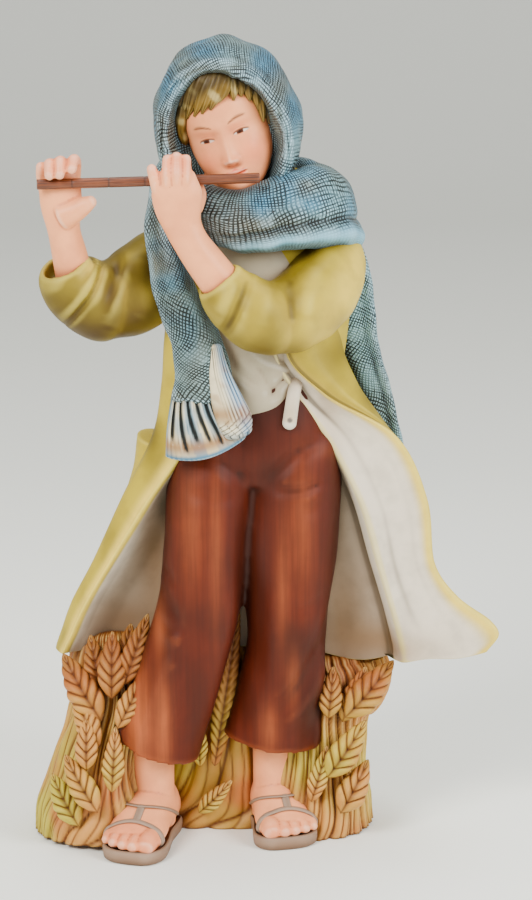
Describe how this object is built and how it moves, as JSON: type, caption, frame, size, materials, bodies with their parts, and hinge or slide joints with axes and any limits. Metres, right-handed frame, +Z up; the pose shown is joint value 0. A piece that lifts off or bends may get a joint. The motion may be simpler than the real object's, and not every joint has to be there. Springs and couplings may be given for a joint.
{
  "type": "nativity musician figurine",
  "caption": "Painted bisque porcelain figurine of a standing young musician in scarf, coat and sandals, playing a thin wooden flute before a sheaf of wheat.",
  "frame": {"origin": "on the ground plane under the middle of the figurine's extents", "axes": "+Z up through the head, -Y the way the figure faces, +X to the figure's left hand side"},
  "size_m": [0.1231, 0.0715, 0.2157],
  "materials": {
    "porcelain": "matt hand-painted bisque",
    "wood": "stained, satin"
  },
  "bodies": {
    "root": {"figurine": "porcelain", "flute": "wood"}
  },
  "joints": []
}
